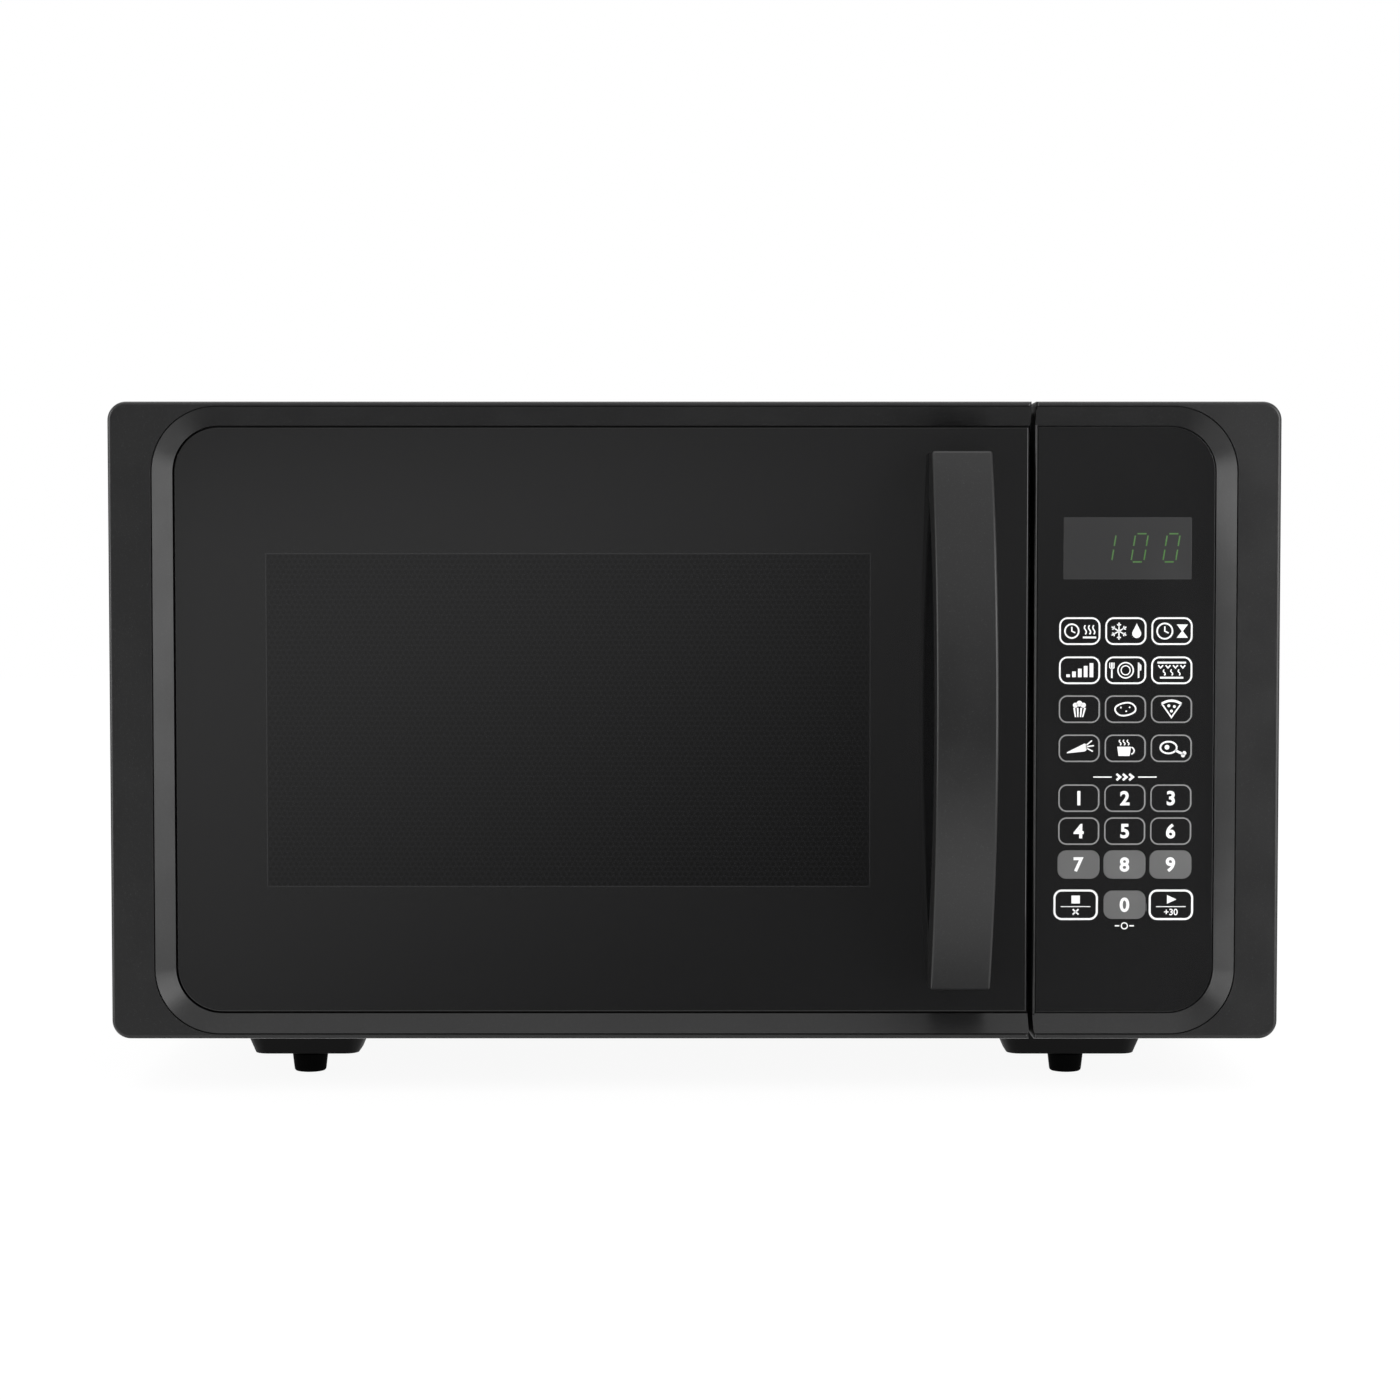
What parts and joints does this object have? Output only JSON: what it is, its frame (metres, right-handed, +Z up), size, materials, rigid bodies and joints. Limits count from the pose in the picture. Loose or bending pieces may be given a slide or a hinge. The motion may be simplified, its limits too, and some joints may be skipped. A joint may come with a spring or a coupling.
{
  "type": "microwave oven",
  "caption": "Countertop microwave oven with grill: side-hinged glass door, bowed pull handle, turntable and touch keypad with a display.",
  "frame": {"origin": "on the worktop under the middle of the oven's outline", "axes": "+X to the right seen from the front, +Y from the door to the rear, +Z up"},
  "size_m": [0.44, 0.388, 0.26],
  "materials": {
    "satin_frame": "satin dark moulded plastic with a fine sparkle grain",
    "gloss_glass": "gloss black printed glass, opaque",
    "gloss_fascia": "gloss black printed film over the keypad",
    "inner_black": "satin black moulded plastic",
    "casing_paint": "black textured enamel on steel",
    "door_enamel": "black enamel on perforated steel",
    "cavity_paint": "pale grey baked paint on steel",
    "galvanised": "galvanised sheet steel with a soft spangle",
    "bright_steel": "bright drawn steel",
    "rubber": "matt black rubber",
    "mica": "mica board",
    "clear_glass": "clear toughened glass",
    "window_film": "clear film over the perforated window",
    "white_plastic": "white heat-resistant plastic",
    "natural_plastic": "natural engineering plastic",
    "board": "green solder-masked circuit board",
    "key_black": "gloss black key area with a white outline and a pale symbol",
    "key_grey": "gloss grey key area with a white digit"
  },
  "bodies": {
    "cabinet": {"outer_casing": "casing_paint", "base_plate": "galvanised", "rear_panel": "galvanised", "cord_gland": "rubber", "cavity_front_plate": "cavity_paint", "cavity_shell": "cavity_paint", "waveguide_cover": "mica", "grill_element": "bright_steel", "foot_left": "rubber", "foot_right": "rubber", "hinge_lower": "bright_steel", "hinge_upper": "bright_steel", "control_housing": "satin_frame", "control_fascia": "gloss_fascia", "control_board": "board", "oven_lamp": "white_plastic", "magnetron": "galvanised", "hv_transformer": "galvanised", "hv_capacitor": "bright_steel", "fan_motor": "galvanised", "interlock_bracket": "white_plastic", "turntable_motor": "galvanised"},
    "door": {"door_frame": "satin_frame", "door_glass": "gloss_glass", "handle": "satin_frame", "door_inner_panel": "door_enamel", "choke_cover": "inner_black", "inner_window": "window_film"},
    "door_latch_bar": {"latch_hooks": "natural_plastic"},
    "fan": {"fan_impeller": "natural_plastic"},
    "driver": {"drive_coupler": "natural_plastic"},
    "tray": {"glass_turntable": "clear_glass"},
    "ring": {"roller_ring": "natural_plastic"},
    "wheel_1": {"roller_wheel_1": "white_plastic"},
    "wheel_2": {"roller_wheel_2": "white_plastic"},
    "wheel_3": {"roller_wheel_3": "white_plastic"},
    "key_cook_time": {"key_cook_time": "key_black"},
    "key_defrost": {"key_defrost": "key_black"},
    "key_clock": {"key_clock": "key_black"},
    "key_power": {"key_power": "key_black"},
    "key_dinner_plate": {"key_dinner_plate": "key_black"},
    "key_grill": {"key_grill": "key_black"},
    "key_popcorn": {"key_popcorn": "key_black"},
    "key_potato": {"key_potato": "key_black"},
    "key_pizza": {"key_pizza": "key_black"},
    "key_vegetables": {"key_vegetables": "key_black"},
    "key_drinks": {"key_drinks": "key_black"},
    "key_meat": {"key_meat": "key_black"},
    "key_1": {"key_1": "key_black"},
    "key_2": {"key_2": "key_black"},
    "key_3": {"key_3": "key_black"},
    "key_4": {"key_4": "key_black"},
    "key_5": {"key_5": "key_black"},
    "key_6": {"key_6": "key_black"},
    "key_7": {"key_7": "key_grey"},
    "key_8": {"key_8": "key_grey"},
    "key_9": {"key_9": "key_grey"},
    "key_stop": {"key_stop": "key_black"},
    "key_0": {"key_0": "key_grey"},
    "key_start": {"key_start": "key_black"}
  },
  "joints": [
    {"name": "door_swing", "type": "hinge", "parent": "cabinet", "child": "door", "pos_m": [-0.214, -0.138, 0.14], "axis": [0, 0, -1], "range_deg": [0, 105]},
    {"name": "door_latch", "type": "slide", "parent": "door", "child": "door_latch_bar", "axis": [0, 0, 1], "range_m": [0, 0.004], "stiffness_N_per_m": 400, "springref_m": -0.004},
    {"name": "driver_spin", "type": "hinge", "parent": "cabinet", "child": "driver", "pos_m": [-0.047, 0.03, 0.045], "axis": [0, 0, 1], "continuous": true},
    {"name": "glass_lift", "type": "slide", "parent": "driver", "child": "tray", "axis": [0, 0, 1], "range_m": [0, 0.03]},
    {"name": "ring_spin", "type": "hinge", "parent": "cabinet", "child": "ring", "pos_m": [-0.047, 0.03, 0.0455], "axis": [0, 0, 1], "continuous": true},
    {"name": "fan_spin", "type": "hinge", "parent": "cabinet", "child": "fan", "pos_m": [0.163, 0.16, 0.118], "axis": [0, 1, 0], "continuous": true},
    {"name": "wheel_1_spin", "type": "hinge", "parent": "ring", "child": "wheel_1", "pos_m": [0.051, 0.03, 0.0455], "axis": [1, 0, 0], "continuous": true},
    {"name": "wheel_2_spin", "type": "hinge", "parent": "ring", "child": "wheel_2", "pos_m": [-0.096, 0.11487, 0.0455], "axis": [-0.5, 0.866, 0], "continuous": true},
    {"name": "wheel_3_spin", "type": "hinge", "parent": "ring", "child": "wheel_3", "pos_m": [-0.096, -0.05487, 0.0455], "axis": [-0.5, -0.866, 0], "continuous": true},
    {"name": "key_cook_time", "type": "slide", "parent": "cabinet", "child": "key_cook_time", "axis": [0, 1, 0], "range_m": [0, 0.0005], "stiffness_N_per_m": 2000},
    {"name": "key_defrost", "type": "slide", "parent": "cabinet", "child": "key_defrost", "axis": [0, 1, 0], "range_m": [0, 0.0005], "stiffness_N_per_m": 2000},
    {"name": "key_clock", "type": "slide", "parent": "cabinet", "child": "key_clock", "axis": [0, 1, 0], "range_m": [0, 0.0005], "stiffness_N_per_m": 2000},
    {"name": "key_power", "type": "slide", "parent": "cabinet", "child": "key_power", "axis": [0, 1, 0], "range_m": [0, 0.0005], "stiffness_N_per_m": 2000},
    {"name": "key_dinner_plate", "type": "slide", "parent": "cabinet", "child": "key_dinner_plate", "axis": [0, 1, 0], "range_m": [0, 0.0005], "stiffness_N_per_m": 2000},
    {"name": "key_grill", "type": "slide", "parent": "cabinet", "child": "key_grill", "axis": [0, 1, 0], "range_m": [0, 0.0005], "stiffness_N_per_m": 2000},
    {"name": "key_popcorn", "type": "slide", "parent": "cabinet", "child": "key_popcorn", "axis": [0, 1, 0], "range_m": [0, 0.0005], "stiffness_N_per_m": 2000},
    {"name": "key_potato", "type": "slide", "parent": "cabinet", "child": "key_potato", "axis": [0, 1, 0], "range_m": [0, 0.0005], "stiffness_N_per_m": 2000},
    {"name": "key_pizza", "type": "slide", "parent": "cabinet", "child": "key_pizza", "axis": [0, 1, 0], "range_m": [0, 0.0005], "stiffness_N_per_m": 2000},
    {"name": "key_vegetables", "type": "slide", "parent": "cabinet", "child": "key_vegetables", "axis": [0, 1, 0], "range_m": [0, 0.0005], "stiffness_N_per_m": 2000},
    {"name": "key_drinks", "type": "slide", "parent": "cabinet", "child": "key_drinks", "axis": [0, 1, 0], "range_m": [0, 0.0005], "stiffness_N_per_m": 2000},
    {"name": "key_meat", "type": "slide", "parent": "cabinet", "child": "key_meat", "axis": [0, 1, 0], "range_m": [0, 0.0005], "stiffness_N_per_m": 2000},
    {"name": "key_1", "type": "slide", "parent": "cabinet", "child": "key_1", "axis": [0, 1, 0], "range_m": [0, 0.0005], "stiffness_N_per_m": 2000},
    {"name": "key_2", "type": "slide", "parent": "cabinet", "child": "key_2", "axis": [0, 1, 0], "range_m": [0, 0.0005], "stiffness_N_per_m": 2000},
    {"name": "key_3", "type": "slide", "parent": "cabinet", "child": "key_3", "axis": [0, 1, 0], "range_m": [0, 0.0005], "stiffness_N_per_m": 2000},
    {"name": "key_4", "type": "slide", "parent": "cabinet", "child": "key_4", "axis": [0, 1, 0], "range_m": [0, 0.0005], "stiffness_N_per_m": 2000},
    {"name": "key_5", "type": "slide", "parent": "cabinet", "child": "key_5", "axis": [0, 1, 0], "range_m": [0, 0.0005], "stiffness_N_per_m": 2000},
    {"name": "key_6", "type": "slide", "parent": "cabinet", "child": "key_6", "axis": [0, 1, 0], "range_m": [0, 0.0005], "stiffness_N_per_m": 2000},
    {"name": "key_7", "type": "slide", "parent": "cabinet", "child": "key_7", "axis": [0, 1, 0], "range_m": [0, 0.0005], "stiffness_N_per_m": 2000},
    {"name": "key_8", "type": "slide", "parent": "cabinet", "child": "key_8", "axis": [0, 1, 0], "range_m": [0, 0.0005], "stiffness_N_per_m": 2000},
    {"name": "key_9", "type": "slide", "parent": "cabinet", "child": "key_9", "axis": [0, 1, 0], "range_m": [0, 0.0005], "stiffness_N_per_m": 2000},
    {"name": "key_stop", "type": "slide", "parent": "cabinet", "child": "key_stop", "axis": [0, 1, 0], "range_m": [0, 0.0005], "stiffness_N_per_m": 2000},
    {"name": "key_0", "type": "slide", "parent": "cabinet", "child": "key_0", "axis": [0, 1, 0], "range_m": [0, 0.0005], "stiffness_N_per_m": 2000},
    {"name": "key_start", "type": "slide", "parent": "cabinet", "child": "key_start", "axis": [0, 1, 0], "range_m": [0, 0.0005], "stiffness_N_per_m": 2000}
  ],
  "couplings": [
    {"joint": "ring_spin", "follows": "driver_spin", "ratio": 0.5},
    {"joint": "wheel_1_spin", "follows": "driver_spin", "ratio": -6.8056},
    {"joint": "wheel_2_spin", "follows": "driver_spin", "ratio": -6.8056},
    {"joint": "wheel_3_spin", "follows": "driver_spin", "ratio": -6.8056}
  ]
}
